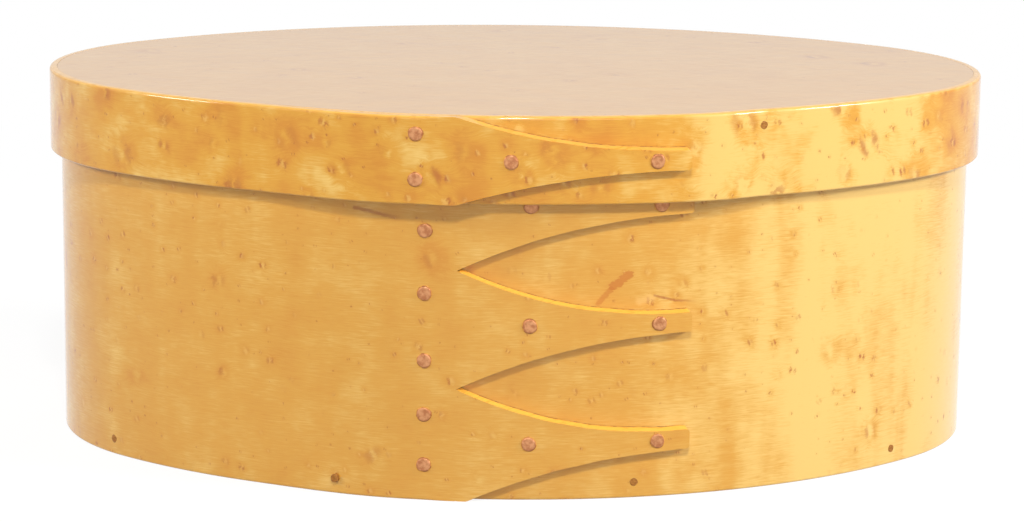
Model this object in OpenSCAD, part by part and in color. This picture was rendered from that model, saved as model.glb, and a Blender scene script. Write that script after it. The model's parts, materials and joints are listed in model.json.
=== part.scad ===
// Oval bentwood box with a lift-off lid, its swallowtail laps clinched with copper tacks.
// Units are millimetres. The origin is the middle of the footprint, Z is up and the laps
// face -Y. Places round the bands are given as s, the distance along the plain outer face
// of the box band, from the middle of the front, positive towards +X. A level is a distance
// outwards from that same face.

/* [Box oval] */
// Length of the box over the plain outer face of its band
box_l = 225; // [205:1:250]
// Width of the box over the plain outer face of its band
box_w = 160; // [150:1:175]
// Radius of the two end arcs at that face
end_r = 57.5; // [52:0.5:65]
// Flat facets round the whole band
facets = 200; // [120:8:280]

/* [Bands] */
// Height of the box band
band_h = 82.5; // [74:0.5:100]
// Thickness of the box band
band_t = 1.9; // [1.4:0.1:2.6]
// Height of the lid band
lid_band_h = 20; // [18:0.5:26]
// Thickness of the lid band
lid_band_t = 1.9; // [1.4:0.1:2.6]
// Radial play between the lid band and the box band
lid_play = 0.75; // [0.65:0.05:1.2]

/* [Boards] */
// Thickness of the bottom board
bottom_t = 7.5; // [6:0.5:9]
// Thickness of the lid board
lid_board_t = 7; // [6:0.5:8.5]

/* [Lap] */
// Glue line between the two layers of a lap
lap_gap = 0.15; // [0.12:0.01:0.25]
// Length over which the outer layer climbs over the feathered inner end
climb_len = 38; // [30:1:44]
// Distance from the end of the climb to the column of tacks
climb_clear = 5.2; // [3:0.2:8]
// Thickness of the feathered inner end at its tip
feather_t = 0.3; // [0.2:0.05:0.5]
// Distance past the finger tips over which the lid closes in on the box again
close_len = 20; // [14:1:30]

/* [Fingers] */
// Number of fingers on the box band
fingers = 3; // [2:1:4]
// Distance from the column of tacks to the notches between the fingers
notch_clear = 7.2; // [5:0.2:9]
// Length of the fingers on the box band
finger_len = 53.6; // [46:0.2:58]
// Length of the finger on the lid band
lid_finger_len = 51.1; // [44:0.1:56]
// Height of a finger at its tip
tip_h = 5; // [4:0.25:7]
// Fullness of the curved finger edges
finger_curve = 2.2; // [1.6:0.1:3]
// Rise of the fingers towards their tips, per millimetre of length
finger_rise = 0.023; // [0:0.001:0.03]
// Bevel of the finger edges, degrees from square
bevel_angle = 14; // [5:1:20]
// Width of a notch at its closed end
notch_w = 0.8; // [0.6:0.1:1.6]

/* [Tacks] */
// Diameter of a tack head
tack_head_d = 3.4; // [2.8:0.1:4]
// Diameter of the flat that hammering leaves on a head
tack_flat_d = 2.6; // [1.8:0.1:2.7]
// Thickness of a tack head
tack_head_t = 0.45; // [0.35:0.05:0.55]
// Depth to which a head is hammered into the wood
tack_sink = 0.15; // [0.1:0.05:0.2]
// Diameter of a tack shank
tack_d = 1.3; // [1:0.1:1.6]
// Length of the point where it is turned over and clinched
clinch_l = 2.6; // [2:0.1:3.4]
// Thickness of the clinched point
clinch_t = 0.4; // [0.3:0.05:0.45]
// Depth to which the clinched point is pressed into the wood
clinch_sink = 0.25; // [0.2:0.05:0.3]
// Clearance between a clinched point and a board
clinch_clear = 0.25; // [0.1:0.05:0.5]

/* [Tack places] */
// Place of the column of tacks that closes the lap of the box band
column_s = -22.8; // [-26:0.2:-20]
// Distance of the lid's column from there, away from the fingers
lid_column_back = 1.4; // [0:0.1:2.5]
// Distance of the highest column tack from the top of the box band
column_top = 7.5; // [5:0.5:10]
// How far each column tack is off its even place, from the lowest up
column_drift = [0, -1.5, -2.3, 0, 1.1, 0]; // [-2.5:0.1:2.5]
// Distance of the lid's column tacks from the edges of the lid band
lid_column_edge = 4.5; // [4:0.1:5]
// How far each column tack of the lid is off its place, from the lowest up
lid_column_drift = [1.2, 0.5]; // [-1.5:0.1:1.5]
// Distance from the notches to the tacks half way along the fingers
mid_along = 16.4; // [12:0.2:24]
// Distance from the lid's notches to the tack half way along its finger
lid_mid_along = 11.8; // [9:0.2:22]
// Distance of the tip tacks from the finger tips
tip_setback = 7.7; // [5:0.1:10]

/* [Pegs] */
// Diameter of a peg
peg_d = 2; // [1.6:0.1:2.6]
// Depth of a peg in the board behind the band
peg_depth = 9; // [6:0.5:12]
// Place of the first bottom peg
bottom_peg_s = -108.2; // [-112:0.2:-104]
// How far each bottom peg is off its even place, one number for each peg
bottom_peg_drift = [0, -2.5, -0.8, 3.9, 0, 0, 0, 0, 0]; // [-5:0.1:5]
// Place of the first lid peg
lid_peg_s = -152.4; // [-156:0.2:-148]
// How far each lid peg is off its even place, one number for each peg
lid_peg_drift = [0, -4.9, 4.9, 0, 0, 0]; // [-5:0.1:5]

/* [Hidden] */
RAD = 180 / PI;
CUT = 1;                              // how far a cutter runs past the wood
GAP_STEPS = 22;                       // stations along a gap between fingers
lap_h = band_t + lap_gap;             // rise of the outer layer on the box band
lid_lap_h = lid_band_t + lap_gap;     // rise of the outer layer on the lid band
total_h = band_h + lid_board_t;
lid_z = total_h - lid_band_h;         // lower edge of the lid band
pitch = band_h / fingers;
climb_start = column_s - climb_clear - climb_len;
notch_s = column_s + notch_clear;
tip_s = notch_s + finger_len;
lid_tip_s = notch_s + lid_finger_len;

// The oval is four tangent arcs: two ends about [+-end_x, 0], two sides about [0, +-side_y].
end_x = box_l / 2 - end_r;
arc_drop = box_w / 2 - end_r;
side_y = (end_x * end_x - arc_drop * arc_drop) / (2 * arc_drop);
side_r = box_w / 2 + side_y;
end_half = atan2(side_y, end_x);      // half angle of an end arc
side_half = 90 - end_half;            // half angle of a side arc
side_len = 2 * side_half * side_r / RAD;
end_len = 2 * end_half * end_r / RAD;
path_len = 2 * (side_len + end_len);
step = path_len / facets;

// Tacks as [place, height]. The lowest column tack clears the bottom board.
column_low = bottom_t + tack_d / 2 + clinch_clear;
column_step = (band_h - column_top - column_low) / (len(column_drift) - 1);
BOX_TACKS = concat(
    [for (k = [0 : len(column_drift) - 1])
        [column_s, column_low + k * column_step + column_drift[k]]],
    [for (k = [0 : fingers - 1]) [notch_s + mid_along, (k + 0.5) * pitch]],
    [for (k = [0 : fingers - 1]) [tip_s - tip_setback, (k + 0.5) * pitch]]);
LID_TACKS = [
    [column_s - lid_column_back, lid_z + lid_column_edge + lid_column_drift[0]],
    [column_s - lid_column_back, total_h - lid_column_edge + lid_column_drift[1]],
    [notch_s + lid_mid_along, lid_z + lid_band_h / 2],
    [lid_tip_s - tip_setback, lid_z + lid_band_h / 2]];

// Pegs as places, spread round the whole band.
bottom_peg_z = bottom_t / 2;
lid_peg_z = band_h + lid_board_t / 2;
function peg_places(first, drift) =
    [for (k = [0 : len(drift) - 1]) first + k * path_len / len(drift) + drift[k]];
BOTTOM_PEGS = peg_places(bottom_peg_s, bottom_peg_drift);
LID_PEGS = peg_places(lid_peg_s, lid_peg_drift);

function numbered(name, list) = [for (k = [1 : len(list)]) str(name, k)];

MAPLE = [0.90, 0.68, 0.38];
PALE_MAPLE = [0.90, 0.81, 0.69];
COPPER = [0.78, 0.51, 0.39];
PEG_WOOD = [0.52, 0.33, 0.18];

// --- Places round the oval ---

// The arc that holds place s, as [centre, radius, direction of the outward normal].
function arc_at(s) =
    let (u = s + side_len / 2,
         front = u - floor(u / path_len) * path_len,
         right = front - side_len,
         back = right - end_len,
         left = back - side_len)
    right <= 0 ? [[0, side_y], side_r, -90 - side_half + front / side_r * RAD]
    : back <= 0 ? [[end_x, 0], end_r, -end_half + right / end_r * RAD]
    : left <= 0 ? [[0, -side_y], side_r, end_half + back / side_r * RAD]
    : [[-end_x, 0], end_r, 180 - end_half + left / end_r * RAD];

function place(s, level) =
    let (arc = arc_at(s))
    arc[0] + (arc[1] + level) * [cos(arc[2]), sin(arc[2])];

// The same place, counted within half a turn of the middle of the front.
function nearest(s) = s - floor(s / path_len + 0.5) * path_len;

// A smooth step from 0 to 1, and the climb of an outer layer, which follows it.
function ease(x) = (1 - cos(180 * max(0, min(1, x)))) / 2;
function climb(s) = ease((s - climb_start) / climb_len);

// Level of each band's plain outer face. The lid follows the lap of the box beneath it.
BOX_FACE = function(s) 0;
LID_FACE = function(s)
    let (q = nearest(s))
    lid_play + lid_band_t + lap_h * (climb(q) - ease((q - tip_s) / close_len));

// --- Bands ---

function stations(from, to) =
    concat([from], [for (k = [floor(from / step) + 1 : ceil(to / step) - 1]) k * step], [to]);

// Outline of a band seen from above. It is one strip: it starts at the feathered inner
// end, goes once round, climbs over its own start and ends at the finger tips.
function strip_outline(face, t, tip) =
    let (h = t + lap_gap,
         from = climb_start + climb_len * acos(1 - 2 * (lap_gap + feather_t) / h) / 180,
         run = stations(from, path_len + tip),
         last = len(run) - 1)
    concat(
        [for (q = run) place(q, face(q) - t + h * climb(q - path_len))],
        [for (k = [0 : last])
            let (q = run[last - k])
            place(q, face(q) + h * climb(q - path_len) - h * (1 - climb(q)))]);

// The curved gap between two fingers, cut with bevelled sides from the outer layer alone.
// Each station along it is a section with four corners. At the tips its middle is at
// height z and it reaches half of its width to either side.
module finger_gap(face, t, length, z, half) {
    inner = lap_gap / 2;
    outer = lap_gap + t + CUT;
    bevel = (outer - inner) * tan(bevel_angle);
    us = concat([-bevel], [for (k = [0 : GAP_STEPS]) k / GAP_STEPS * length], [length + CUT]);
    corners = [for (u = us)
        let (s = notch_s + u,
             full = 1 - pow(1 - max(0, min(1, u / length)), finger_curve),
             w = notch_w / 2 + (half - notch_w / 2) * full,
             wide = u < 0 ? w : w + bevel,
             mid = z - finger_rise * (length - u),
             a = place(s, face(s) + inner),
             b = place(s, face(s) + outer))
        each [[a.x, a.y, mid - w], [a.x, a.y, mid + w],
              [b.x, b.y, mid + wide], [b.x, b.y, mid - wide]]];
    last = len(us) - 1;
    polyhedron(corners, concat(
        [[0, 1, 2, 3], [4 * last + 3, 4 * last + 2, 4 * last + 1, 4 * last]],
        [for (k = [0 : last - 1], e = [0 : 3])
            let (f = (e + 1) % 4)
            [4 * k + e, 4 * k + 4 + e, 4 * k + 4 + f, 4 * k + f]]));
}

// Puts children on a band with their Z axis along the outward normal and Y along the band.
module on_face(s, level, z) {
    p = place(s, level);
    translate([p.x, p.y, z]) rotate([0, 90, arc_at(s)[2]]) children();
}

module main_band() {
    color(MAPLE) difference() {
        linear_extrude(band_h) polygon(strip_outline(BOX_FACE, band_t, tip_s));
        for (k = [0 : fingers])
            finger_gap(BOX_FACE, band_t, finger_len, k * pitch, (pitch - tip_h) / 2);
        for (tack = BOX_TACKS) on_box_lap(tack) tack_solid(band_t + lap_h, CUT);
        for (s = BOTTOM_PEGS) bottom_peg_solid(s, CUT);
    }
}

module lid_band() {
    color(MAPLE) difference() {
        translate([0, 0, lid_z]) linear_extrude(lid_band_h)
            polygon(strip_outline(LID_FACE, lid_band_t, lid_tip_s));
        for (z = [lid_z, total_h])
            finger_gap(LID_FACE, lid_band_t, lid_finger_len, z, (lid_band_h - tip_h) / 2);
        for (tack = LID_TACKS) on_lid_lap(tack) tack_solid(lid_band_t + lid_lap_h, CUT);
        for (s = LID_PEGS) lid_peg_solid(s, CUT);
    }
}

// --- Boards ---

module board(t, level) {
    linear_extrude(t) polygon([for (k = [0 : facets - 1]) place(k * step, level(k * step))]);
}

module bottom_board() {
    color(PALE_MAPLE) difference() {
        board(bottom_t, function(s) -band_t);
        for (s = BOTTOM_PEGS) bottom_peg_solid(s, 0);
    }
}

// The board is relieved behind the clinched points that come out against its edge.
module lid_board() {
    color(PALE_MAPLE) difference() {
        translate([0, 0, band_h]) board(lid_board_t, function(s) LID_FACE(s) - lid_band_t);
        for (s = LID_PEGS) lid_peg_solid(s, 0);
        for (tack = LID_TACKS)
            if (tack[1] > band_h)
                on_lid_lap(tack)
                    translate([0, 0, clinch_sink - clinch_t - clinch_clear - lid_band_t - lid_lap_h])
                        cylinder(r = clinch_l + clinch_clear, h = lid_band_t, $fn = 48);
    }
}

// --- Tacks ---

module on_box_lap(tack) {
    on_face(tack[0], lap_h, tack[1]) children();
}

module on_lid_lap(tack) {
    on_face(tack[0], LID_FACE(tack[0]) + lid_lap_h, tack[1]) children();
}

// A tack through wood of the given thickness: head, shank and the point turned over inside.
// With extra above 0 it is the hole for it, open past the wood at both ends.
module tack_solid(wood, extra) {
    translate([0, 0, -tack_sink]) cylinder(d = tack_head_d, h = tack_sink + extra, $fn = 48);
    if (extra == 0) cylinder(d1 = tack_head_d, d2 = tack_flat_d, h = tack_head_t - tack_sink, $fn = 48);
    translate([0, 0, -wood - extra]) cylinder(d = tack_d, h = wood + extra, $fn = 32);
    translate([0, 0, clinch_sink - clinch_t - wood - extra])
        linear_extrude(clinch_t + extra)
            polygon([[tack_d / 2, 0], [tack_d / 6, clinch_l], [-tack_d / 6, clinch_l], [-tack_d / 2, 0]]);
}

module box_tack(tack) {
    color(COPPER) on_box_lap(tack) tack_solid(band_t + lap_h, 0);
}

module lid_tack(tack) {
    color(COPPER) on_lid_lap(tack) tack_solid(lid_band_t + lid_lap_h, 0);
}

// --- Pegs ---

// A peg through the wood at a place: level is that of the band's plain outer face, and rise
// is how far the outer layer of the lap stands over it. Past the notches the fingers leave
// the wood bare there, so that the peg ends at the inner layer.
module peg_solid(s, level, z, wood, rise, extra) {
    on_face(s, level, z)
        translate([0, 0, -wood - peg_depth])
            cylinder(d = peg_d, h = wood + peg_depth + extra
                + (nearest(s) < notch_s ? rise * climb(nearest(s)) : 0), $fn = 32);
}

module bottom_peg_solid(s, extra) {
    peg_solid(s, BOX_FACE(s), bottom_peg_z, band_t, lap_h, extra);
}

module lid_peg_solid(s, extra) {
    peg_solid(s, LID_FACE(s), lid_peg_z, lid_band_t, lid_lap_h, extra);
}

module bottom_peg(s) {
    color(PEG_WOOD) bottom_peg_solid(s, 0);
}

module lid_peg(s) {
    color(PEG_WOOD) lid_peg_solid(s, 0);
}

main_band();
bottom_board();
lid_band();
lid_board();
for (k = [0 : len(BOX_TACKS) - 1])
    box_tack(BOX_TACKS[k]);
for (k = [0 : len(LID_TACKS) - 1])
    lid_tack(LID_TACKS[k]);
for (k = [0 : len(BOTTOM_PEGS) - 1])
    bottom_peg(BOTTOM_PEGS[k]);
for (k = [0 : len(LID_PEGS) - 1])
    lid_peg(LID_PEGS[k]);
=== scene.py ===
"""Oval bentwood box in bird's-eye maple, with copper tacks and wooden pegs.

Lengths are in metres. As in the solid model, a place round the bands is s, the distance
along the plain outer face of the box band from the middle of the front, positive towards
+X, and a level is a distance outwards from that face.
"""
import json
import math
import random

import bmesh
import bpy
from mathutils import Matrix, Vector, noise


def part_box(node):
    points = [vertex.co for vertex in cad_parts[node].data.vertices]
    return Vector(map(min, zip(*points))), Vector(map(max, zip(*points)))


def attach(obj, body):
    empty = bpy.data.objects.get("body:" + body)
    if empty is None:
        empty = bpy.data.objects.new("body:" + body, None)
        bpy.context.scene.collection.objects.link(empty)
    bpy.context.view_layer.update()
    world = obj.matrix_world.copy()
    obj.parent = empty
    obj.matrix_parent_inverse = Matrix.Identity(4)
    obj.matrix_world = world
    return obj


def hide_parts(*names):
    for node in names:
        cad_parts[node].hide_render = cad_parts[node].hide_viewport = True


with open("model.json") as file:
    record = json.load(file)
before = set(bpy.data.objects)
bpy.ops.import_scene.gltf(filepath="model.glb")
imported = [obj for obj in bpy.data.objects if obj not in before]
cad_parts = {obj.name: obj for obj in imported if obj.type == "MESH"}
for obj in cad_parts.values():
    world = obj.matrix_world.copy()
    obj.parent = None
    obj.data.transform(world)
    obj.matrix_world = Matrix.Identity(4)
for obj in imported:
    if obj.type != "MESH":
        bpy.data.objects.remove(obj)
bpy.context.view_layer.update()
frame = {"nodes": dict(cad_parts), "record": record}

MM = 0.001

# --- Sizes that the bands share with the solid model ---
BOX_L, BOX_W, END_R = 225 * MM, 160 * MM, 57.5 * MM
BAND_T, LID_BAND_T = 1.9 * MM, 1.9 * MM
LID_PLAY, LAP_GAP, FEATHER_T = 0.75 * MM, 0.15 * MM, 0.3 * MM
LAP_H = BAND_T + LAP_GAP                         # rise of the outer layer of a lap
COLUMN_S = -22.8 * MM                            # where the column of tacks is
CLIMB_CLEAR, NOTCH_CLEAR = 5.2 * MM, 7.2 * MM    # from the column to the climb and the notches
CLIMB_LEN, CLOSE_LEN = 38 * MM, 20 * MM
CLIMB_START = COLUMN_S - CLIMB_CLEAR - CLIMB_LEN
NOTCH_S = COLUMN_S + NOTCH_CLEAR
FINGERS = 3
FINGER_LEN, LID_FINGER_LEN = 53.6 * MM, 51.1 * MM
TIP_H = 5 * MM
FINGER_CURVE, FINGER_RISE = 2.2, 0.023           # fullness of the edges, rise per length
BEVEL = math.tan(math.radians(14))               # slope of the cut edges

# --- Sizes read from the frame ---
BAND_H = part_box("main_band")[1][2]
LID_Z, TOTAL_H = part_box("lid_band")[0][2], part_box("lid_band")[1][2]
BOTTOM_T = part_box("bottom_board")[1][2]

# --- Small forms that only this script has ---
EASE, BOARD_EASE = 0.22 * MM, 0.08 * MM    # rounding of the edges of the bands and the boards
BOX_ROUNDS = 0.5 * MM, 0.4 * MM            # rounding of the outer edges, at foot and head
LID_ROUNDS = 0.45 * MM, 0.75 * MM
ROUND_FADE, LEAST_ROUND = 9 * MM, 0.1      # over this length it shrinks to this share at the notch
TIP_R = 0.8 * MM                           # rounding of the corners of a finger tip
SKIN = 0.05 * MM                           # sanded off the bands, so that the pegs stand out
BOARD_INSET = 0.02 * MM                    # the hairline joint between a board and its band
SHADE_LINE_W, SHADE_LINE_UP = 0.11 * MM, 0.02 * MM     # the painted shade lines along the fingers
KNIFE = 0.16 * MM                          # how far the hand-cut edges wander
KNIFE_SLOW, KNIFE_QUICK = 6 * MM, 1.4 * MM     # and over what lengths
QUICK_SHARE = 0.4

# --- Fineness of the meshes ---
STEP, FINGER_STEP = 1.2 * MM, 0.6 * MM     # along the bands and along the fingers
ROWS = 7                                   # points up a finger
ROUND_ANGLES = (0, 22, 44, 66, 88)
TIP_ANGLES = (20, 40, 60, 75, 84)
SLIT = 0.02 * MM                           # the least distance kept between two rows
MERGE, SLIVER = 0.004 * MM, 0.002 * MM     # points and edges closer than this become one
EASE_SEGMENTS = 2
SHARP = math.radians(38)                   # an edge that turns more than this is eased


# ---------------------------------------------------------------- places round the oval

END_X = BOX_L / 2 - END_R
ARC_DROP = BOX_W / 2 - END_R
SIDE_Y = (END_X ** 2 - ARC_DROP ** 2) / (2 * ARC_DROP)
SIDE_R = BOX_W / 2 + SIDE_Y
END_HALF = math.atan2(SIDE_Y, END_X)
SIDE_HALF = math.pi / 2 - END_HALF
SIDE_LEN = 2 * SIDE_HALF * SIDE_R
END_LEN = 2 * END_HALF * END_R
PATH_LEN = 2 * (SIDE_LEN + END_LEN)


def arc_at(s):
    """Centre, radius and direction of the outward normal of the arc that holds s."""
    front = (s + SIDE_LEN / 2) % PATH_LEN
    right = front - SIDE_LEN
    back = right - END_LEN
    left = back - SIDE_LEN
    if right <= 0:
        return (0, SIDE_Y), SIDE_R, -math.pi / 2 - SIDE_HALF + front / SIDE_R
    if back <= 0:
        return (END_X, 0), END_R, -END_HALF + right / END_R
    if left <= 0:
        return (0, -SIDE_Y), SIDE_R, END_HALF + back / SIDE_R
    return (-END_X, 0), END_R, math.pi - END_HALF + left / END_R


def point(s, level, z):
    (cx, cy), radius, angle = arc_at(s)
    return Vector((cx + (radius + level) * math.cos(angle),
                   cy + (radius + level) * math.sin(angle), z))


def nearest_s(place, face, step):
    """Where round the oval the surface at level face(s) comes nearest to a place."""
    return min((k * step for k in range(round(PATH_LEN / step))),
               key=lambda s: (point(s, face(s), place.z) - place).length)


def ease(x):
    """From 0 to 1 on half a wave, and level outside it."""
    return (1 - math.cos(math.pi * min(1, max(0, x)))) / 2


def climb(s):
    """How far the outer layer of the lap has risen, from 0 to 1."""
    return ease((s - CLIMB_START) / CLIMB_LEN)


def box_face(s):
    return 0.0


def lid_face(s):
    """Level of the lid band's plain outer face, which bulges over the lap of the box."""
    q = (s + PATH_LEN / 2) % PATH_LEN - PATH_LEN / 2
    tip = NOTCH_S + FINGER_LEN
    return LID_PLAY + LID_BAND_T + LAP_H * (climb(q) - ease((q - tip) / CLOSE_LEN))


# ---------------------------------------------------------------- mesh helpers

def new_object(name, points, faces, uvs=None):
    """A smooth object. uvs holds one place in the wood per point, as (s, z)."""
    mesh = bpy.data.meshes.new(name)
    mesh.from_pydata([tuple(p) for p in points], [], faces)
    if uvs is not None:
        layer = mesh.uv_layers.new(name="grain")
        for loop in mesh.loops:
            layer.data[loop.index].uv = uvs[loop.vertex_index]
    mesh.shade_smooth()
    obj = bpy.data.objects.new(name, mesh)
    bpy.context.scene.collection.objects.link(obj)
    return obj


def join(points, faces, more_points, more_faces):
    """Adds a second mesh to the lists of a first one."""
    start = len(points)
    points += more_points
    faces += [tuple(start + v for v in face) for face in more_faces]


def ease_edges(obj, width):
    """Rounds the sharp edges, and leaves the flats between them flat."""
    bevel = obj.modifiers.new("eased_edges", "BEVEL")
    bevel.width = width
    bevel.segments = EASE_SEGMENTS
    bevel.limit_method = "ANGLE"
    bevel.angle_limit = SHARP
    bevel.harden_normals = True


def spread(low, high, count):
    """Evenly spaced values from low to high, with both of them."""
    return [low + (high - low) * k / (count - 1) for k in range(count)]


def stations(start, end, step):
    return spread(start, end, max(2, round((end - start) / step) + 1))


# ---------------------------------------------------------------- bands

class Band:
    """One bent strip: feathered inner end, one turn, and an outer end cut into fingers.

    face(s) is the level of its plain outer face, t its thickness, low and high its edges,
    rise the rise of its fingers per length, and rounds the radii of its outer edges at the
    foot and the head. A place q along the strip is s for its inner layer, and runs on past
    a full turn for the outer one. u is the distance past the notches, and gap k is the one
    below finger k.
    """

    UPPER = 9    # added to a gap's number, so that its upper edge has a waver of its own

    def __init__(self, name, face, t, low, high, fingers, finger_len, rise, rounds, seed):
        self.name, self.face, self.t = name, face, t
        self.foot_r, self.head_r = rounds
        self.low, self.high = low, high
        self.fingers, self.finger_len, self.rise = fingers, finger_len, rise
        self.pitch = (high - low) / fingers
        self.lap = t + LAP_GAP
        self.bevel = t * BEVEL
        self.seed = seed
        self.points, self.uvs, self.faces = [], [], []
        self.ribbon_points, self.shade_ribbon_faces = [], []

    def add(self, s, level, z):
        self.points.append(point(s, level, z))
        self.uvs.append((s, z))
        return len(self.points) - 1

    def levels(self, q):
        """Inner and outer level of the strip at q."""
        up = self.lap * climb(q - PATH_LEN)
        inner = self.face(q) - self.t + up
        return inner, self.face(q) + up - self.lap * (1 - climb(q)) - SKIN

    def gap_middle(self, k, u):
        rise = 0 if k == self.fingers else self.rise
        return self.low + k * self.pitch - rise * (self.finger_len - u)

    def gap(self, k, u):
        """Lower and upper edge of gap k on the outer surface."""
        full = 1 - (1 - min(1, max(0, u / self.finger_len))) ** FINGER_CURVE
        half = ((self.pitch - TIP_H) / 2 + self.bevel / 2) * full
        middle = self.gap_middle(k, u)
        return (middle - half + self.knife(k, u) * full,
                middle + half + self.knife(k + self.UPPER, u) * full)

    def knife(self, edge, u):
        """How far a hand-cut edge is off its curve. The constants keep the edges apart."""
        slow = noise.noise(Vector((u / KNIFE_SLOW, edge * 7.3 + self.seed, 0)))
        quick = noise.noise(Vector((u / KNIFE_QUICK, edge * 5.1 + self.seed, 8)))
        return KNIFE * (slow + QUICK_SHARE * quick)

    def finger(self, k, u):
        """Bounds of finger k: on the outer surface, then on the inner one."""
        past = max(0, u - (self.finger_len - TIP_R))
        corner = TIP_R - math.sqrt(TIP_R ** 2 - min(past, TIP_R) ** 2)
        low_out = max(self.low, self.gap(k, u)[1] + corner)
        high_out = min(self.high, self.gap(k + 1, u)[0] - corner)
        low_in = max(self.low, low_out - self.bevel)
        high_in = min(self.high, high_out + self.bevel)
        if k > 0:
            low_in = max(low_in, self.gap_middle(k, u))
        if k < self.fingers - 1:
            high_in = min(high_in, self.gap_middle(k + 1, u))
        return low_out, high_out, low_in, high_in

    def ring(self, q, outer, inner, dips=()):
        """One section: up the outer surface, which dips where its edges are rounded, and
        down the inner one."""
        low_level, high_level = self.levels(q)
        share = min(1, (high_level - low_level) / self.t)
        dips = dips or [0] * len(outer)
        return ([self.add(q, high_level - dip * share, z) for z, dip in zip(outer, dips)]
                + [self.add(q, low_level, z) for z in reversed(inner)])

    def rounding(self, radius, edge, way):
        """The outer, inner and dip values of a rounded outer edge, from the flat outwards."""
        turns = [math.radians(a) for a in ROUND_ANGLES]
        outer = [edge - way * radius * (1 - math.sin(a)) for a in turns]
        inner = [edge - way * radius * (1 - k / (len(turns) - 1)) for k in range(len(turns))]
        return outer, inner, [radius * (1 - math.cos(a)) for a in turns]

    def section(self, q, notch):
        """The ring of the uncut strip at q: its foot, the roots of the fingers, its head."""
        keep = max(LEAST_ROUND, ease((notch - q) / ROUND_FADE))
        foot = self.rounding(self.foot_r * keep, self.low, -1)
        head = self.rounding(self.head_r * keep, self.high, 1)
        outer, inner, dips = ([*reversed(part)] for part in foot)
        least_out, least_in = outer[-1] + SLIT, inner[-1] + SLIT
        most_out, most_in = head[0][0] - SLIT, head[1][0] - SLIT
        for k in range(self.fingers):
            low_out, high_out, low_in, high_in = self.finger(k, 0)
            outer += spread(max(low_out, least_out), min(high_out, most_out), ROWS)
            inner += spread(max(low_in, least_in), min(high_in, most_in), ROWS)
            dips += [0] * ROWS
        return self.ring(q, outer + head[0], inner + head[1], dips + head[2])

    def skin(self, a, b):
        """The faces between two rings, without those that have shrunk to a line."""
        count = len(a)
        for k in range(count):
            n = (k + 1) % count
            quad = []
            for v in (a[k], b[k], b[n], a[n]):
                if v not in quad:
                    quad.append(v)
            if len(quad) > 2:
                self.faces.append(tuple(quad))

    def cap(self, ring, at_start):
        """The faces across a ring, from its outer to its inner points."""
        count = len(ring) // 2
        for k in range(count - 1):
            quad = (ring[k], ring[k + 1], ring[2 * count - 2 - k], ring[2 * count - 1 - k])
            self.faces.append(quad if at_start else tuple(reversed(quad)))

    def make(self):
        """The strip and the lines of painted shade along its fingers."""
        thin = 1 - 2 * (LAP_GAP + FEATHER_T) / self.lap
        begin = CLIMB_START + CLIMB_LEN * math.acos(thin) / math.pi
        notch = PATH_LEN + NOTCH_S
        rings = [self.section(q, notch) for q in stations(begin, notch, STEP)]
        for a, b in zip(rings, rings[1:]):
            self.skin(a, b)
        self.cap(rings[0], True)
        self.cut_end(rings[-1], notch)
        strip = new_object(self.name + "_strip", self.points, self.faces, self.uvs)
        self.clean(strip)
        ease_edges(strip, EASE)
        # The second object is painted shade: dark ribbons in the corners above the fingers.
        return strip, new_object(self.name + "_seams", self.ribbon_points, self.shade_ribbon_faces)

    def cut_end(self, ring, notch):
        """The fingers, and the faces between their roots, which close the notches."""
        count = len(ring) // 2
        closed = set(range(count - 1))
        for k in range(self.fingers):
            first = len(ROUND_ANGLES) + k * ROWS
            opposite = 2 * count - first - ROWS
            closed -= set(range(first, first + ROWS - 1))
            self.make_finger(k, ring[first:first + ROWS] + ring[opposite:opposite + ROWS], notch)
        for row in sorted(closed):
            self.faces.append((ring[row], ring[2 * count - 1 - row],
                               ring[2 * count - 2 - row], ring[row + 1]))

    def make_finger(self, k, ring, notch):
        tip = notch + self.finger_len
        places = stations(notch, tip - TIP_R, FINGER_STEP)
        places += [tip - TIP_R * (1 - math.sin(math.radians(a))) for a in TIP_ANGLES]
        for q in places[1:]:
            low_out, high_out, low_in, high_in = self.finger(k, q - notch)
            following = self.ring(q, spread(low_out, high_out, ROWS),
                                  spread(low_in, high_in, ROWS))
            self.skin(ring, following)
            ring = following
        self.cap(ring, False)
        self.painted_shade_lines(k, notch, places[:-len(TIP_ANGLES)])

    def painted_shade_lines(self, k, notch, places):
        """A thin line of painted shade on the inner layer, along the upper edge of a finger."""
        start = len(self.ribbon_points)
        for q in places:
            edge = self.finger(k, q - notch)[3]
            reach = SHADE_LINE_W * (1 + noise.noise(Vector((q / KNIFE_QUICK, k, self.seed))))
            for z in (edge - SHADE_LINE_W, min(self.high - self.head_r, edge + reach)):
                self.ribbon_points.append(point(q, self.face(q) - SKIN + SHADE_LINE_UP, z))
        for n in range(start, len(self.ribbon_points) - 2, 2):
            self.shade_ribbon_faces.append((n, n + 2, n + 3, n + 1))

    def clean(self, obj):
        bm = bmesh.new()
        bm.from_mesh(obj.data)
        bmesh.ops.remove_doubles(bm, verts=bm.verts, dist=MERGE)
        bmesh.ops.dissolve_degenerate(bm, edges=bm.edges, dist=SLIVER)
        bmesh.ops.recalc_face_normals(bm, faces=bm.faces)
        bm.to_mesh(obj.data)
        bm.free()
        obj.data.shade_smooth()


# ---------------------------------------------------------------- boards

def make_board(name, low, high, level):
    """An oval board between two heights, whose rim is at level(s)."""
    outline = [k * STEP for k in range(round(PATH_LEN / STEP))]
    count = len(outline)
    points = [point(s, level(s), z) for z in (low, high) for s in outline]
    faces = [(k, (k + 1) % count, count + (k + 1) % count, count + k) for k in range(count)]
    faces += [tuple(range(count - 1, -1, -1)), tuple(range(count, 2 * count))]
    obj = new_object(name, points, faces)
    ease_edges(obj, BOARD_EASE)
    return obj


# ---------------------------------------------------------------- tacks and pegs

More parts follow.
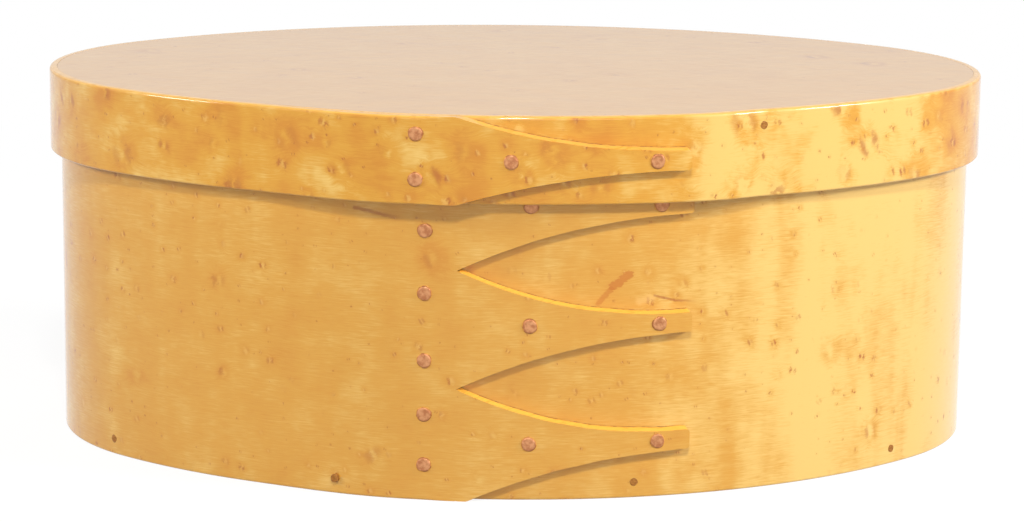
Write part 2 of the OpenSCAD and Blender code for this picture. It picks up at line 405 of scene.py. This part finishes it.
SEAT_DEPTH = 0.1 * MM           # points this near to the outermost one belong to the end
HEAD_RISE = 0.3 * MM            # how far a CAD tack head stands out of the wood
HEAD_R, HEAD_UP = 1.6 * MM, 0.27 * MM
HEAD_SEGMENTS = 40
HEAD_WAVES = ((2, 0.02), (3, 0.014))    # how many waves round the rim, and how high
# Rings of the head and of the seam round it, as shares of its radius and heights over the wood.
HEAD_PROFILE = ((0.9, -0.14 * MM), (1, -0.1 * MM), (1, 0.1 * MM), (0.97, 0.19 * MM),
                (0.88, 0.93 * HEAD_UP), (0.7, HEAD_UP), (0.45, 0.96 * HEAD_UP), (0.3, HEAD_UP),
                (0.14, 0.92 * HEAD_UP))
SEAM_PROFILE = ((1.13, -0.1 * MM), (1.11, 0.025 * MM), (1, 0.02 * MM), (0.95, -0.1 * MM))
DENT_FROM, DENT_DEPTH, DENT_SIZE = 0.12 * MM, 0.035 * MM, 0.6 * MM    # hammer marks
SHANK_R = 0.62 * MM
CLINCH_L, CLINCH_UP = 2.5 * MM, 0.12 * MM
CLINCH_SECTIONS, CLINCH_AROUND = 7, 8
CLINCH_TAPER, CLINCH_POWER = 0.72, 1.5  # how much narrower the tongue gets, and how late
CLINCH_BLUNT, CLINCH_THIN = 0.55, 0.5   # the width of its root, and how much thinner it gets
PEG_R, PEG_SEGMENTS = 1.0 * MM, 24
PEG_PROFILE = ((0.9, -3 * MM), (0.96, -0.2 * MM), (0.94, -0.02 * MM), (0.8, 0), (0.4, -0.01 * MM))
PEG_SQUARE, PEG_UNEVEN = 0.05, 0.03


def seat_of(node):
    """Middle of a tack's or a peg's outer end and its outward direction, from the CAD."""
    obj = frame["nodes"][node]
    points = [obj.matrix_world @ v.co for v in obj.data.vertices]
    middle = sum(points, Vector()) / len(points)
    (cx, cy), _, _ = arc_at(nearest_s(middle, box_face, MM))
    out = Vector((middle.x - cx, middle.y - cy, 0)).normalized()
    reach = max(p.dot(out) for p in points)
    end = [p for p in points if reach - p.dot(out) < SEAT_DEPTH]
    centre = Vector([(min(p[k] for p in end) + max(p[k] for p in end)) / 2 for k in range(3)])
    return centre, Vector((centre.x - cx, centre.y - cy, 0)).normalized()


def place_on(centre, out):
    """Matrix whose Z is the outward normal and whose X runs along the band."""
    along = Vector((0, 0, 1)).cross(out).normalized()
    rows = Matrix((along, out.cross(along), out)).transposed()
    return Matrix.Translation(centre) @ rows.to_4x4()


def lathe(profile, segments, wobble):
    """A solid from rings of (radius, height). wobble gives each angle its share of the radius."""
    points, faces = [], []
    for radius, height in profile:
        for k in range(segments):
            a = 2 * math.pi * k / segments
            r = radius * wobble(a)
            points.append(Vector((r * math.cos(a), r * math.sin(a), height)))
    for ring in range(len(profile) - 1):
        for k in range(segments):
            n = (k + 1) % segments
            a, b = ring * segments, (ring + 1) * segments
            faces.append((a + k, a + n, b + n, b + k))
    faces.append(tuple(range(segments - 1, -1, -1)))
    top = (len(profile) - 1) * segments
    faces.append(tuple(range(top, top + segments)))
    return points, faces


def make_tack(node, wood, seed):
    """A hammered head with the dark seam round it, and the point turned over inside. wood is
    the thickness that the tack goes through."""
    rng = random.Random(seed)
    phases = [rng.uniform(0, 2 * math.pi) for _ in HEAD_WAVES]
    centre, out = seat_of(node)
    surface = -HEAD_RISE

    def wobble(a):
        return 1 + sum(height * math.sin(count * a + phase)
                       for (count, height), phase in zip(HEAD_WAVES, phases))

    def turned(profile):
        rings = [(HEAD_R * share, surface + height) for share, height in profile]
        return lathe(rings, HEAD_SEGMENTS, wobble)

    points, faces = turned(HEAD_PROFILE)
    for p in points:
        if p.z > surface + DENT_FROM:
            dent = noise.noise(Vector((p.x, p.y, 0)) / DENT_SIZE + Vector((seed, 0, 0)))
            p.z = min(p.z + DENT_DEPTH * dent, surface + HEAD_UP)
    seam_from = len(faces)
    join(points, faces, *turned(SEAM_PROFILE))
    seam_to = len(faces)
    join(points, faces, *clinched_point(surface - wood))
    obj = new_object(node + "_copper", points, faces)
    obj.data.materials.append(materials["copper"])
    obj.data.materials.append(materials["seam_and_painted_shade"])
    for k in range(seam_from, seam_to):
        obj.data.polygons[k].material_index = 1
    obj.data.transform(place_on(centre, out))
    return obj


def clinched_point(back):
    """A flat tapering tongue on the inside, rounded across."""
    points, faces = [], []
    around = CLINCH_AROUND
    for k in range(CLINCH_SECTIONS):
        f = k / (CLINCH_SECTIONS - 1)
        x = -SHANK_R + f * (CLINCH_L + SHANK_R)
        half = SHANK_R * (1 - CLINCH_TAPER * f ** CLINCH_POWER) * (CLINCH_BLUNT if k == 0 else 1)
        thick = CLINCH_UP * (1 - CLINCH_THIN * f)
        for n in range(around):
            a = 2 * math.pi * n / around
            points.append(Vector((x, half * math.cos(a), back - thick * math.sin(a))))
    for k in range(CLINCH_SECTIONS - 1):
        for n in range(around):
            m = (n + 1) % around
            a, b = k * around, (k + 1) * around
            faces.append((a + n, b + n, b + m, a + m))
    faces.append(tuple(range(around)))
    faces.append(tuple(reversed(range(len(points) - around, len(points)))))
    return points, faces


def make_peg(node, face, seed):
    """A peg whose end follows the band's plain face, or lies a lap's height above it.

    Where the outer layer still climbs, that leaves the end a little under or over the wood.
    """
    phase = random.Random(seed).uniform(0, 2 * math.pi)
    centre, _ = seat_of(node)
    s = nearest_s(centre, face, MM / 4)
    above = (point(s, 0, centre.z) - centre).length - abs(face(s))
    lift = 0.0 if abs(above) < BAND_T / 2 else LAP_H     # a peg may go through a lap

    def wobble(a):
        return 1 + PEG_SQUARE * math.cos(4 * (a + phase)) + PEG_UNEVEN * math.sin(a + phase)

    rings = [(PEG_R * share, height) for share, height in PEG_PROFILE]
    flat, faces = lathe(rings, PEG_SEGMENTS, wobble)
    points = [point(s + p.x, face(s + p.x) + lift + p.z, centre.z + p.y) for p in flat]
    return new_object(node + "_wood", points, faces)


# ---------------------------------------------------------------- materials

def srgb(r, g, b):
    def linear(c):
        c /= 255
        return c / 12.92 if c <= 0.04045 else ((c + 0.055) / 1.055) ** 2.4
    return (linear(r), linear(g), linear(b), 1)


class Nodes:
    """Short calls for the nodes of one material."""

    def __init__(self, name):
        self.material = bpy.data.materials.new(name)
        self.material.use_nodes = True
        self.tree = self.material.node_tree
        self.tree.nodes.clear()
        self.output = self.tree.nodes.new("ShaderNodeOutputMaterial")

    def put(self, socket, value):
        if isinstance(value, bpy.types.NodeSocket):
            self.tree.links.new(value, socket)
        else:
            socket.default_value = value

    def add(self, kind, inputs=None, **settings):
        node = self.tree.nodes.new("ShaderNode" + kind)
        for key, value in settings.items():
            setattr(node, key, value)
        for key, value in (inputs or {}).items():
            self.put(node.inputs[key], value)
        return node

    def math(self, operation, a, b=0.0, c=0.0, clamp=False):
        node = self.add("Math", {0: a, 1: b, 2: c}, operation=operation, use_clamp=clamp)
        return node.outputs[0]

    def vector(self, operation, a, b=(0, 0, 0)):
        node = self.add("VectorMath", {0: a, 1: b}, operation=operation)
        return node.outputs["Value" if operation in ("LENGTH", "DOT_PRODUCT") else "Vector"]

    def step(self, value, low, high, to_low=0.0, to_high=1.0):
        node = self.add("MapRange", {"Value": value, "From Min": low, "From Max": high,
                                     "To Min": to_low, "To Max": to_high},
                        interpolation_type="SMOOTHSTEP")
        return node.outputs["Result"]

    def mix(self, factor, a, b):
        """A mix of two colours, which are sockets 6 and 7 of the node."""
        node = self.add("Mix", {0: factor, 6: a, 7: b}, data_type="RGBA")
        return node.outputs[2]

    def noise(self, vector, detail=3.0, roughness=0.5, distortion=0.0):
        node = self.add("TexNoise", {"Vector": vector, "Scale": 1.0, "Detail": detail,
                                     "Roughness": roughness, "Distortion": distortion})
        return node.outputs["Fac"]

    def shader(self, **inputs):
        node = self.add("BsdfPrincipled", {key.replace("_", " "): v for key, v in inputs.items()})
        self.tree.links.new(node.outputs[0], self.output.inputs[0])

    def bump(self, height, distance, strength):
        return self.add("Bump", {"Height": height, "Distance": distance,
                                 "Strength": strength}).outputs[0]


def scaled(n, vector, x, y, z=1.0):
    return n.vector("MULTIPLY", vector, (x, y, z))


def in_mm(n, vector):
    return scaled(n, vector, 1 / MM, 1 / MM, 1 / MM)


def times(n, first, *others):
    for value in others:
        first = n.math("MULTIPLY", first, value)
    return first


def shuffled(n, value, factor):
    """Another random number from 0 to 1 out of a first one."""
    return n.math("FRACT", n.math("MULTIPLY", value, factor))


def length(n, x, y):
    return n.math("SQRT", n.math("ADD", n.math("MULTIPLY", x, x), n.math("MULTIPLY", y, y)))


def eyes(n, place, spacing, amount, size, seed):
    """Bird's eyes, spacing millimetres apart on average, where amount is the share of the
    places that have one. Gives their dark strokes, pale hearts, the stain round them and a
    pull, in millimetres, that leads the grain round them."""
    cells = n.vector("ADD", scaled(n, place, 1 / spacing, 1 / spacing, 0), (seed, 1.7 * seed, 0))

    def voronoi(feature):
        return n.add("TexVoronoi", {"Vector": cells, "Scale": 1.0, "Randomness": 0.95},
                     voronoi_dimensions="2D", feature=feature).outputs

    nearest = voronoi("F1")
    chance = n.add("SeparateColor", {0: nearest["Color"]}).outputs
    away = n.vector("SUBTRACT", cells, nearest["Position"])
    away = n.add("SeparateXYZ", {0: scaled(n, away, spacing, spacing, 0)}).outputs

    # x and y run from the eye's middle, in its own size, ragged and leaning.
    grow = n.math("MULTIPLY_ADD", shuffled(n, chance[1], 7.3), 0.9 * size, 0.5 * size)
    ragged = n.noise(scaled(n, place, 1.1 / size, 1.1 / size), detail=3.0, roughness=0.6)
    ragged = n.math("SUBTRACT", ragged, 0.5)
    y = n.math("MULTIPLY_ADD", ragged, 2.2, n.math("DIVIDE", away[1], grow))
    x = n.math("MULTIPLY_ADD", ragged, -1.5, n.math("DIVIDE", away[0], grow))
    lean = times(n, n.math("SUBTRACT", chance[2], 0.5), 1.3)
    x, y = n.math("ADD", x, times(n, y, lean)), n.math("SUBTRACT", y, times(n, x, lean))

    # An eye fades towards the border of its cell, where the next cell's would cut it off.
    border = voronoi("DISTANCE_TO_EDGE")["Distance"]
    present = times(n, n.step(border, 0.01, 0.22),
                    n.step(chance[0], 1 - amount - 0.03, 1 - amount + 0.03))

    # One bent stroke on either side of the heart, each with its own weight.
    side = n.step(x, -0.15, 0.15)
    weight = n.math("ADD", times(n, side, shuffled(n, chance[1], 3.1)),
                    times(n, n.math("SUBTRACT", 1.0, side), shuffled(n, chance[2], 5.7)))
    gap = n.math("MULTIPLY_ADD", shuffled(n, chance[0], 11.9), 0.5, 0.3)
    offset = n.math("DIVIDE", n.math("SUBTRACT", n.math("ABSOLUTE", x), gap), 0.42)
    stroke = n.step(length(n, offset, n.math("DIVIDE", y, 0.8)), 1.4, 0.2)
    stroke = times(n, stroke, present, n.step(weight, 0.0, 1.0))
    heart = n.step(length(n, n.math("DIVIDE", x, 0.6), n.math("DIVIDE", y, 0.9)), 1.4, 0.0)
    stain = n.step(length(n, x, y), 2.8, 0.3)
    pull = times(n, y, grow, stain, present)
    return stroke, times(n, heart, present), times(n, stain, present), pull


def mark(n, place, start, end, width, edge):
    """A stroke of colour from start to end, as (s, z) in millimetres, with a ragged edge."""
    run = (end[0] - start[0], end[1] - start[1], 0)
    from_start = n.vector("SUBTRACT", place, (*start, 0))
    from_start = scaled(n, from_start, 1, 1, 0)
    along = n.math("DIVIDE", n.vector("DOT_PRODUCT", from_start, run), run[0] ** 2 + run[1] ** 2,
                   clamp=True)
    foot = n.add("CombineXYZ", {0: times(n, along, run[0]), 1: times(n, along, run[1])}).outputs[0]
    distance = n.vector("LENGTH", n.vector("SUBTRACT", from_start, foot))
    ragged = n.math("SUBTRACT", n.noise(scaled(n, place, 0.9, 2.2), detail=3.0), 0.5)
    distance = n.math("MULTIPLY_ADD", ragged, width, distance)
    return n.step(distance, width / 2 + edge, width / 2 - edge), along


EYE_SPACING, SPECK_SPACING, SWIRL_SPACING = 6.2, 4.1, 13    # millimetres
SPECK_AMOUNT, SPECK_SIZE, SWIRL_SIZE = 0.6, 0.4, 2.6        # shares of the eyes' own
SPECK_SEED, SWIRL_SEED = 31, 57
BARE_CURL = 0.4                 # share of the curl outside the painted light's stretch


def maple(name, seed, tones, curl, blotch, eye_amount, eye_size, swirls,
          painted_light_stretch=(0, 1, 2, 3, 0), by_uv=True, marks=()):
    """Varnished bird's-eye maple. tones are its deep, middle and pale colours, that of the
    eyes and that of the cut edges. curl and blotch are the strength of the wavy bands and of
    the clouds, eye_amount and eye_size those of the eyes, and swirls is the share of large
    soft ones. painted_light_stretch is where along the strip painted light starts to pale the
    colour, is palest, starts to turn back and ends, in millimetres, and by how much."""
    n = Nodes(name)
    deep, middle, pale, dark, cut = tones
    geometry = n.add("NewGeometry").outputs
    source = n.add("UVMap", uv_map="grain").outputs[0] if by_uv else geometry["Position"]
    place = in_mm(n, source)
    where = n.add("SeparateXYZ", {0: place}).outputs

    def soft(x, y, shift, **settings):
        return n.noise(n.vector("ADD", scaled(n, place, x, y), shift), **settings)

    # The eyes come in crowds, small specks come everywhere, and swirls are large soft eyes.
    crowd = n.step(soft(0.024, 0.03, (seed, 2, 0), detail=1.0), 0.36, 0.56)
    stroke, heart, stain, pull = (times(n, part, crowd) for part in eyes(
        n, place, EYE_SPACING, eye_amount, eye_size, seed))
    speck, _, speck_stain, _ = eyes(n, place, SPECK_SPACING, eye_amount * SPECK_AMOUNT,
                                    eye_size * SPECK_SIZE, seed + SPECK_SEED)
    swirl, swirl_heart, swirl_stain, swirl_pull = eyes(
        n, place, SWIRL_SPACING, eye_amount * swirls, eye_size * SWIRL_SIZE, seed + SWIRL_SEED)

    # The fibres run along the strip, and bend round the eyes.
    drift = soft(0.03, 0.05, (seed, 9, 0), detail=2.0)
    across = n.math("MULTIPLY_ADD", n.math("ADD", pull, swirl_pull), 0.5, where[1])
    across = n.math("MULTIPLY_ADD", drift, 3.0, across)

    def fibre(along_scale, across_scale, shift, detail):
        at = n.add("CombineXYZ", {0: times(n, where[0], along_scale),
                                  1: times(n, across, across_scale), 2: seed + shift})
        return n.noise(at.outputs[0], detail=detail, roughness=0.6)

    grain = fibre(0.09, 1.5, 0, 4.0)
    threads = fibre(0.26, 3.4, 4, 3.0)
    pores = n.step(fibre(0.5, 5.5, 8, 1.0), 0.66, 0.78)
    bands = soft(0.075, 0.016, (seed, 0, 0), detail=2.0, distortion=0.6)
    clouds = soft(0.085, 0.09, (0, seed, 0), detail=3.0, roughness=0.55)

    # The tone starts from a half. Figure and painted light move it, each by its own weight.
    start, full, fade, end, painted_light_gain = painted_light_stretch
    # Painted light: a stretch of the strip is made paler, as if more lamp light fell on it.
    painted_light_here = n.math("SUBTRACT", n.step(where[0], start, full), n.step(where[0], fade, end))
    curled = n.math("MULTIPLY_ADD", painted_light_here, (1 - BARE_CURL) * curl, BARE_CURL * curl)
    tone = 0.5
    for part, weight in ((bands, curled), (clouds, blotch), (grain, 0.22), (threads, 0.5)):
        tone = n.math("MULTIPLY_ADD", n.math("SUBTRACT", part, 0.5), weight, tone)
    for part, weight in ((painted_light_here, painted_light_gain), (stain, -0.14), (swirl_stain, -0.24),
                         (swirl_heart, 0.3)):
        tone = n.math("MULTIPLY_ADD", part, weight, tone)

    # It picks the wood's colour, and the fine parts then tint that, each by its own share.
    colour = n.mix(n.step(tone, 0.15, 0.52), deep, middle)
    colour = n.mix(n.step(tone, 0.46, 0.85), colour, pale)
    for part, share, tint in ((pores, 0.16, dark), (speck_stain, 0.12, deep), (heart, 0.45, pale),
                              (swirl, 0.62, dark), (speck, 0.75, dark), (stroke, 0.85, dark)):
        colour = n.mix(times(n, part, share), colour, tint)
    for first, last, width, edge, share, fading, tint in marks:
        area, along = mark(n, place, first, last, width, edge)
        keep = n.step(along, 1.0, fading) if fading < 1 else 1.0
        colour = n.mix(times(n, area, keep, share), colour, tint)
    if by_uv:
        # A surface of the strip that faces up or down is a cut edge.
        tilt = n.math("ABSOLUTE", n.add("SeparateXYZ", {0: geometry["Normal"]}).outputs[2])
        sawn = n.mix(n.step(threads, 0.25, 0.5), middle, cut)
        colour = n.mix(times(n, n.step(tilt, 0.45, 0.8), 0.85), colour, sawn)

    relief = n.math("MULTIPLY_ADD", threads, 0.5, times(n, heart, 0.3))
    relief = n.math("MULTIPLY_ADD", stroke, -0.45, relief)
    lacquer = n.noise(scaled(n, place, 0.12, 0.12, 0.12), detail=2.0)
    n.shader(Base_Color=colour, Roughness=n.step(threads, 0.3, 0.7, 0.54, 0.44),
             Normal=n.bump(relief, 0.04 * MM, 0.6), Specular_IOR_Level=0.35, Coat_Weight=1.0,
             Coat_IOR=1.42, Coat_Roughness=0.07, Coat_Normal=n.bump(lacquer, 0.3 * MM, 0.3))
    return n.material


def copper():
    """Hammered copper, dulled to pinkish brown, with brighter patches at random."""
    n = Nodes("copper")
    place = in_mm(n, n.add("NewGeometry").outputs["Position"])
    dull = n.noise(scaled(n, place, 0.9, 0.9, 0.9), detail=4.0, roughness=0.6)
    dents = n.noise(scaled(n, place, 1.8, 1.8, 1.8), detail=2.0)
    colour = n.mix(n.step(dull, 0.35, 0.65), srgb(172, 108, 66), srgb(202, 144, 98))
    n.shader(Base_Color=colour, Metallic=0.55, Roughness=n.step(dull, 0.3, 0.7, 0.4, 0.55),
             Normal=n.bump(dents, 0.06 * MM, 0.6))
    return n.material


def seam_and_painted_shade():
    """The dark line of pooled varnish round a tack head, and the painted shade along a finger."""
    n = Nodes("seam_and_painted_shade")
    place = in_mm(n, n.add("NewGeometry").outputs["Position"])
    smear = n.noise(scaled(n, place, 0.7, 0.7, 0.7), detail=2.0)
    colour = n.mix(n.step(smear, 0.4, 0.6), srgb(168, 102, 42), srgb(210, 148, 60))
    n.shader(Base_Color=colour, Roughness=n.step(smear, 0.3, 0.7, 0.5, 0.6))
    return n.material


def peg_wood():
    """Brown end grain under varnish."""
    n = Nodes("peg_wood")
    place = in_mm(n, n.add("NewGeometry").outputs["Position"])
    rings = n.noise(scaled(n, place, 1.2, 1.2, 3.0), detail=4.0)
    colour = n.mix(n.step(rings, 0.35, 0.65), srgb(138, 86, 34), srgb(172, 116, 54))
    n.shader(Base_Color=colour, Roughness=n.step(rings, 0.3, 0.7, 0.4, 0.5),
             Normal=n.bump(rings, 0.05 * MM, 0.5), Specular_IOR_Level=0.2)
    return n.material


# Deep, middle and pale wood, eyes, cut edges.
BOX_TONES = (srgb(202, 134, 34), srgb(210, 152, 52), srgb(228, 187, 102), srgb(168, 86, 8),
             srgb(240, 182, 68))
LID_TONES = (srgb(202, 131, 22), srgb(212, 151, 38), srgb(227, 186, 98), srgb(164, 82, 6),
             srgb(234, 178, 80))
BOARD_TONES = (srgb(190, 132, 58), srgb(207, 154, 75), srgb(218, 171, 96), srgb(160, 108, 58),
               srgb(220, 163, 84))
# The marks on the box band beside its middle finger and under the lid's rim: start and end
# as (s, z) in millimetres, width, softness, strength, where it starts to fade, colour.
STAIN, DARK_STREAK, CHIP = srgb(190, 106, 10), srgb(164, 88, 22), srgb(234, 188, 112)
TURN = PATH_LEN / MM            # the outer layer's own places are a turn further on
BOX_MARKS = (
    ((16.4, 46.0), (19.4, 49.2), 1.2, 0.2, 0.6, 1, STAIN),
    ((19.7, 49.7), (23.6, 52.5), 1.9, 0.2, 0.75, 1, STAIN),
    ((29.5, 47.4), (34.3, 46.1), 0.5, 0.2, 0.7, 1, DARK_STREAK),
    ((34.3, 46.1), (40.4, 45.5), 0.5, 0.2, 0.7, 0.1, DARK_STREAK),
    ((26.0, 46.2), (29.0, 46.9), 1.6, 0.6, 0.4, 1, CHIP),
    # A thin dark wedge under the lid's rim, near the end of the outer layer's climb.
    ((TURN - 39, 67.3), (TURN - 27, 65.1), 0.8, 0.3, 0.7, 0.5, DARK_STREAK),
)
# Both bands get a stretch of painted light, paler on their right.
materials = {
    "box_maple": maple("box_maple", 3.0, BOX_TONES, curl=1.0, blotch=0.5, eye_amount=0.55,
                       eye_size=0.85, swirls=0.2, painted_light_stretch=(20, 85, 190, 260, 0.34),
                       marks=BOX_MARKS),
    "lid_maple": maple("lid_maple", 17.0, LID_TONES, curl=0.9, blotch=1.1, eye_amount=0.7,
                       eye_size=1.0, swirls=1.3, painted_light_stretch=(15, 60, 85, 115, 0.42)),
    "board_maple": maple("board_maple", 41.0, BOARD_TONES, curl=0.5, blotch=0.4,
                         eye_amount=0.16, eye_size=0.8, swirls=0.5, by_uv=False),
    "copper": copper(),
    "seam_and_painted_shade": seam_and_painted_shade(),
    "peg_wood": peg_wood(),
}


# ---------------------------------------------------------------- the box

def dress(obj, node, body, material=None):
    """Says what a piece is. A tack has its two materials already."""
    if material is not None:
        obj.data.materials.append(materials[material])
    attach(obj, body)
    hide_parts(node)


def build_box():
    strip, painted_shade_lines = Band("main_band", box_face, BAND_T, 0.0, BAND_H, FINGERS, FINGER_LEN,
                        FINGER_RISE, BOX_ROUNDS, seed=1).make()
    dress(strip, "main_band", "box", "box_maple")
    # The dark ribbons along the fingers are painted shade.
    dress(painted_shade_lines, "main_band", "box", "seam_and_painted_shade")
    board = make_board("bottom_board_wood", 0.0, BOTTOM_T, lambda s: -BAND_T - BOARD_INSET)
    dress(board, "bottom_board", "box", "board_maple")


def build_lid():
    strip, painted_shade_lines = Band("lid_band", lid_face, LID_BAND_T, LID_Z, TOTAL_H, 1, LID_FINGER_LEN,
                        0.0, LID_ROUNDS, seed=5).make()
    dress(strip, "lid_band", "lid", "lid_maple")
    # The dark ribbon along the lid's finger is painted shade.
    dress(painted_shade_lines, "lid_band", "lid", "seam_and_painted_shade")
    board = make_board("lid_board_wood", BAND_H, TOTAL_H,
                       lambda s: lid_face(s) - LID_BAND_T - BOARD_INSET)
    dress(board, "lid_board", "lid", "board_maple")


def build_fasteners():
    for body, nodes in frame["record"]["behaviour"]["bodies"].items():
        wood = 2 * (BAND_T if body == "box" else LID_BAND_T) + LAP_GAP
        for seed, node in enumerate(nodes, start=1):
            if "_tack_" in node:
                dress(make_tack(node, wood, seed), node, body)
            elif "_peg_" in node:
                face = box_face if body == "box" else lid_face
                dress(make_peg(node, face, seed), node, body, "peg_wood")


# ---------------------------------------------------------------- studio

# The camera, as the photograph was taken: place, turn left, tilt down, roll and focal length.
PHOTO_W = 1024
CAMERA_AT = Vector((-0.0276, -0.7857, 0.1963))
CAMERA_YAW, CAMERA_PITCH, CAMERA_ROLL = -0.0344, 0.1963, 0.0111
FOCAL_PX = 3189.8
SENSOR_W = 36
CLIP_NEAR, CLIP_FAR = 0.01, 50

WHITE = (1, 1, 1, 1)
FLOOR_REACH = 3
FLOOR_BOUNCE = (0.38, 0.38, 0.38, 1)
FLOOR_NEAR, FLOOR_FAR = 0.14, 0.5     # the shadows fade out between these distances
FLOOR_GLOW = 0.86                     # the share of the near floor's white that takes no shadow
AMBIENT = 0.2                         # the world's strength as a light

LAMP_TARGET = Vector((0, 0, 0.045))
LAMPS = (
    # name, degrees round from the front towards +X, degrees up, distance, size, level
    ("key", 0, 43, 1.3, (0.12, 0.12), 0.53),
    ("right_softbox", 72, 26, 1.3, (0.35, 0.25), 0.8),
    ("left_softbox", -77, 26, 1.3, (0.35, 0.25), 0.47),
    ("front_fill", 0, 12, 1.5, (1.2, 0.5), 0.2),
    ("back_right", 150, 15, 1.5, (0.8, 0.5), 0.3),
    ("back_left", -150, 15, 1.5, (0.8, 0.5), 0.3),
)
MATT_LAMPS = ("back_right", "back_left")      # these leave no glints


def make_camera():
    cos_y, sin_y = math.cos(CAMERA_YAW), math.sin(CAMERA_YAW)
    cos_p, sin_p = math.cos(CAMERA_PITCH), math.sin(CAMERA_PITCH)
    cos_r, sin_r = math.cos(CAMERA_ROLL), math.sin(CAMERA_ROLL)
    side = Vector((cos_y, sin_y, 0))
    level = Vector((-sin_y, cos_y, 0))
    ahead = level * cos_p - Vector((0, 0, sin_p))
    above = level * sin_p + Vector((0, 0, cos_p))
    right = side * cos_r + above * sin_r
    up = above * cos_r - side * sin_r
    data = bpy.data.cameras.new("camera")
    data.sensor_width = SENSOR_W
    data.lens = FOCAL_PX / PHOTO_W * SENSOR_W
    data.clip_start, data.clip_end = CLIP_NEAR, CLIP_FAR
    camera = bpy.data.objects.new("camera", data)
    turn = Matrix((right, up, -ahead)).transposed().to_4x4()
    camera.matrix_world = Matrix.Translation(CAMERA_AT) @ turn
    bpy.context.scene.collection.objects.link(camera)
    bpy.context.scene.camera = camera


def make_floor():
    """A white floor that the camera sees glow, apart from the object's shadow, and that
    lights the object only as a grey one."""
    corners = ((-1, -1), (1, -1), (1, 1), (-1, 1))
    points = [Vector((x, y, 0)) * FLOOR_REACH for x, y in corners]
    floor = new_object("floor", points, [(0, 1, 2, 3)])
    n = Nodes("floor")
    path = n.add("LightPath").outputs
    seen = n.math("MAXIMUM", path["Is Camera Ray"], path["Is Glossy Ray"])
    seen = n.math("MAXIMUM", seen, path["Is Transmission Ray"])
    away = n.vector("LENGTH", n.add("NewGeometry").outputs["Position"])
    glow = n.step(away, FLOOR_NEAR, FLOOR_FAR, FLOOR_GLOW, 1.0)
    matt = n.add("BsdfDiffuse", {"Color": n.mix(seen, FLOOR_BOUNCE, WHITE)})
    white = n.add("Emission", {"Color": WHITE, "Strength": 1.0})
    mixed = n.add("MixShader", {0: n.math("MULTIPLY", seen, glow), 1: matt.outputs[0],
                                2: white.outputs[0]})
    n.tree.links.new(mixed.outputs[0], n.output.inputs[0])
    floor.data.materials.append(n.material)


def make_world():
    """White where the camera or a reflection sees it, and dimmer as a light."""
    world = bpy.data.worlds.new("studio")
    bpy.context.scene.world = world
    world.use_nodes = True
    tree = world.node_tree
    tree.nodes.clear()
    path = tree.nodes.new("ShaderNodeLightPath")
    seen = tree.nodes.new("ShaderNodeMath")
    seen.operation = "MAXIMUM"
    tree.links.new(path.outputs["Is Camera Ray"], seen.inputs[0])
    tree.links.new(path.outputs["Is Glossy Ray"], seen.inputs[1])
    strength = tree.nodes.new("ShaderNodeMapRange")
    strength.inputs["To Min"].default_value = AMBIENT
    strength.inputs["To Max"].default_value = 1.0
    tree.links.new(seen.outputs[0], strength.inputs["Value"])
    background = tree.nodes.new("ShaderNodeBackground")
    tree.links.new(strength.outputs[0], background.inputs["Strength"])
    output = tree.nodes.new("ShaderNodeOutputWorld")
    tree.links.new(background.outputs[0], output.inputs[0])


def make_lamps():
    """Each lamp's level is the share of a white, matt surface's brightness that it gives."""
    for name, around, up, distance, size, level in LAMPS:
        data = bpy.data.lights.new(name, "AREA")
        data.shape = "RECTANGLE"
        data.size, data.size_y = size
        data.energy = level * (math.pi * distance) ** 2
        lamp = bpy.data.objects.new(name, data)
        a, e = math.radians(around), math.radians(up)
        towards = Vector((math.sin(a) * math.cos(e), -math.cos(a) * math.cos(e), math.sin(e)))
        lamp.location = LAMP_TARGET + towards * distance
        lamp.rotation_euler = towards.to_track_quat("Z", "Y").to_euler()
        lamp.visible_glossy = name not in MATT_LAMPS
        bpy.context.scene.collection.objects.link(lamp)


make_camera()
make_world()
make_lamps()
make_floor()
build_box()
build_lid()
build_fasteners()
bpy.context.scene.view_settings.view_transform = "Standard"
